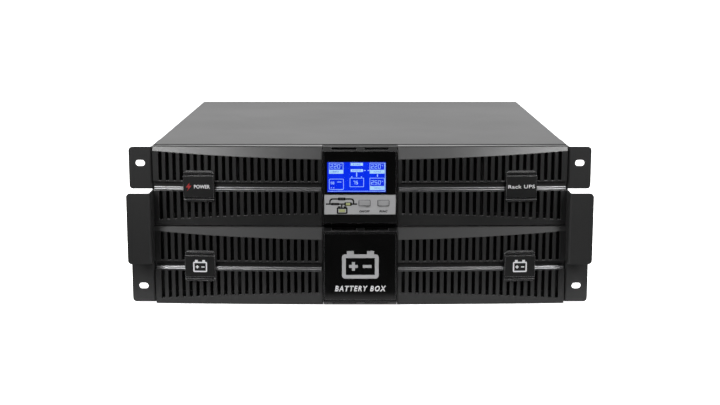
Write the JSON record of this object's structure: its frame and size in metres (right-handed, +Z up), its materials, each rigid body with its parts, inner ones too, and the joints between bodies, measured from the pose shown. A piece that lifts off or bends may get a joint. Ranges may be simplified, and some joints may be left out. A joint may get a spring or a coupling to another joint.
{
  "type": "uninterruptible power supply",
  "caption": "Rack-mount uninterruptible power supply standing on its matching battery box, joined by slotted rack brackets with handle flanges.",
  "frame": {"origin": "middle of the footprint, on the plane the battery box stands on", "axes": "+X to the right of someone facing the front, +Y towards the back, +Z up"},
  "size_m": [0.489, 0.485, 0.172],
  "materials": {
    "black_painted_steel": "fine black powder coat",
    "grey_painted_steel": "satin black powder coat, looks grey under light",
    "bezel_plastic": "fine-textured black moulding",
    "badge_plastic": "satin black moulding",
    "silver_trim": "satin silver",
    "gloss_window": "high gloss black",
    "lcd_screen": "backlit blue",
    "circuit_board": "solder mask",
    "grey_label": "satin light grey film",
    "button_plastic": "satin light grey",
    "button_white": "glossy white",
    "fan_plastic": "glass-filled moulding",
    "plated_steel": "bright nickel plate",
    "socket_plastic": "black thermoplastic",
    "terminal_green": "green thermoplastic",
    "brass_plated": "bright brass",
    "bare_aluminium": "extruded, bare",
    "component_black": "moulded epoxy",
    "capacitor_sleeve": "shrunk sleeve",
    "copper_winding": "enamelled copper",
    "ferrite": "sintered ferrite",
    "wire_insulation": "red insulation",
    "filter_foam": "open-cell foam",
    "battery_case": "dark grey battery case",
    "breaker_plastic": "light grey thermoset",
    "screw_black": "black zinc"
  },
  "bodies": {
    "chassis": {"ups_chassis": "black_painted_steel", "ups_cover": "grey_painted_steel", "ups_rear_panel": "black_painted_steel", "ups_bezel": "bezel_plastic", "ups_trim_strips": "silver_trim", "fan_frames": "fan_plastic", "fan_guards": "plated_steel", "mains_outlets": "socket_plastic", "mains_inlet": "socket_plastic", "input_breaker": "socket_plastic", "ups_battery_socket": "socket_plastic", "serial_port": "plated_steel", "usb_port": "plated_steel", "emergency_off_terminal": "terminal_green", "card_slot_cover": "black_painted_steel", "earth_studs": "brass_plated", "power_board": "circuit_board", "board_standoffs": "brass_plated", "heatsinks": "bare_aluminium", "power_transistors": "component_black", "bus_capacitors": "capacitor_sleeve", "inductors": "copper_winding", "transformer": "ferrite", "relays": "component_black", "control_card": "circuit_board", "input_filter_board": "circuit_board", "power_leads": "wire_insulation", "battery_chassis": "black_painted_steel", "battery_cover": "grey_painted_steel", "battery_rear_panel": "black_painted_steel", "battery_bezel": "bezel_plastic", "battery_trim_strips": "silver_trim", "battery_blocks": "battery_case", "dust_filters": "filter_foam", "battery_links": "wire_insulation", "hold_down_bars": "plated_steel", "battery_leads": "wire_insulation", "battery_box_sockets": "socket_plastic", "dc_breaker": "breaker_plastic", "dc_fuse_holder": "socket_plastic", "rack_ear_left": "black_painted_steel", "rack_ear_right": "black_painted_steel", "case_screws": "screw_black"},
    "display_module": {"display_housing": "bezel_plastic", "display_window": "gloss_window", "lcd_panel": "lcd_screen", "display_board": "circuit_board", "control_label": "grey_label"},
    "on_off_key": {"on_off_button": "button_plastic"},
    "function_key": {"function_button": "button_plastic"},
    "battery_panel": {"battery_panel_housing": "bezel_plastic", "battery_panel_face": "gloss_window"},
    "ups_badge_l": {"ups_badge_left": "badge_plastic"},
    "ups_badge_r": {"ups_badge_right": "badge_plastic"},
    "battery_badge_l": {"battery_badge_left": "badge_plastic"},
    "battery_badge_r": {"battery_badge_right": "badge_plastic"},
    "left_rotor": {"fan_rotor_left": "fan_plastic"},
    "right_rotor": {"fan_rotor_right": "fan_plastic"},
    "reset_key": {"breaker_reset_button": "button_white"},
    "breaker_lever": {"dc_breaker_lever": "component_black"}
  },
  "joints": [
    {"name": "display_pull", "type": "slide", "parent": "chassis", "child": "display_module", "axis": [0, -1, 0], "range_m": [0, 0.014]},
    {"name": "on_off_press", "type": "slide", "parent": "display_module", "child": "on_off_key", "axis": [0, 1, 0], "range_m": [0, 0.0008], "stiffness_N_per_m": 1200, "springref_m": -0.0002},
    {"name": "function_press", "type": "slide", "parent": "display_module", "child": "function_key", "axis": [0, 1, 0], "range_m": [0, 0.0008], "stiffness_N_per_m": 1200, "springref_m": -0.0002},
    {"name": "battery_panel_pull", "type": "slide", "parent": "chassis", "child": "battery_panel", "axis": [0, -1, 0], "range_m": [0, 0.014]},
    {"name": "ups_badge_left_turn", "type": "hinge", "parent": "chassis", "child": "ups_badge_l", "pos_m": [-0.17, -0.22608, 0.129], "axis": [-0.0637, -0.998, 0], "range_deg": [0, 90]},
    {"name": "ups_badge_right_turn", "type": "hinge", "parent": "chassis", "child": "ups_badge_r", "pos_m": [0.17, -0.22608, 0.129], "axis": [0.0637, -0.998, 0], "range_deg": [0, 90]},
    {"name": "battery_badge_left_turn", "type": "hinge", "parent": "chassis", "child": "battery_badge_l", "pos_m": [-0.17, -0.22608, 0.043], "axis": [-0.0637, -0.998, 0], "range_deg": [0, 90]},
    {"name": "battery_badge_right_turn", "type": "hinge", "parent": "chassis", "child": "battery_badge_r", "pos_m": [0.17, -0.22608, 0.043], "axis": [0.0637, -0.998, 0], "range_deg": [0, 90]},
    {"name": "left_fan_spin", "type": "hinge", "parent": "chassis", "child": "left_rotor", "pos_m": [-0.165, 0.2193, 0.129], "axis": [0, 1, 0], "continuous": true},
    {"name": "right_fan_spin", "type": "hinge", "parent": "chassis", "child": "right_rotor", "pos_m": [-0.08, 0.2193, 0.129], "axis": [0, 1, 0], "continuous": true},
    {"name": "breaker_trip", "type": "slide", "parent": "chassis", "child": "reset_key", "axis": [0, 1, 0], "range_m": [0, 0.004]},
    {"name": "dc_breaker_throw", "type": "hinge", "parent": "chassis", "child": "breaker_lever", "pos_m": [0.06, 0.2305, 0.043], "axis": [1, 0, 0], "range_deg": [-50, 0]}
  ]
}
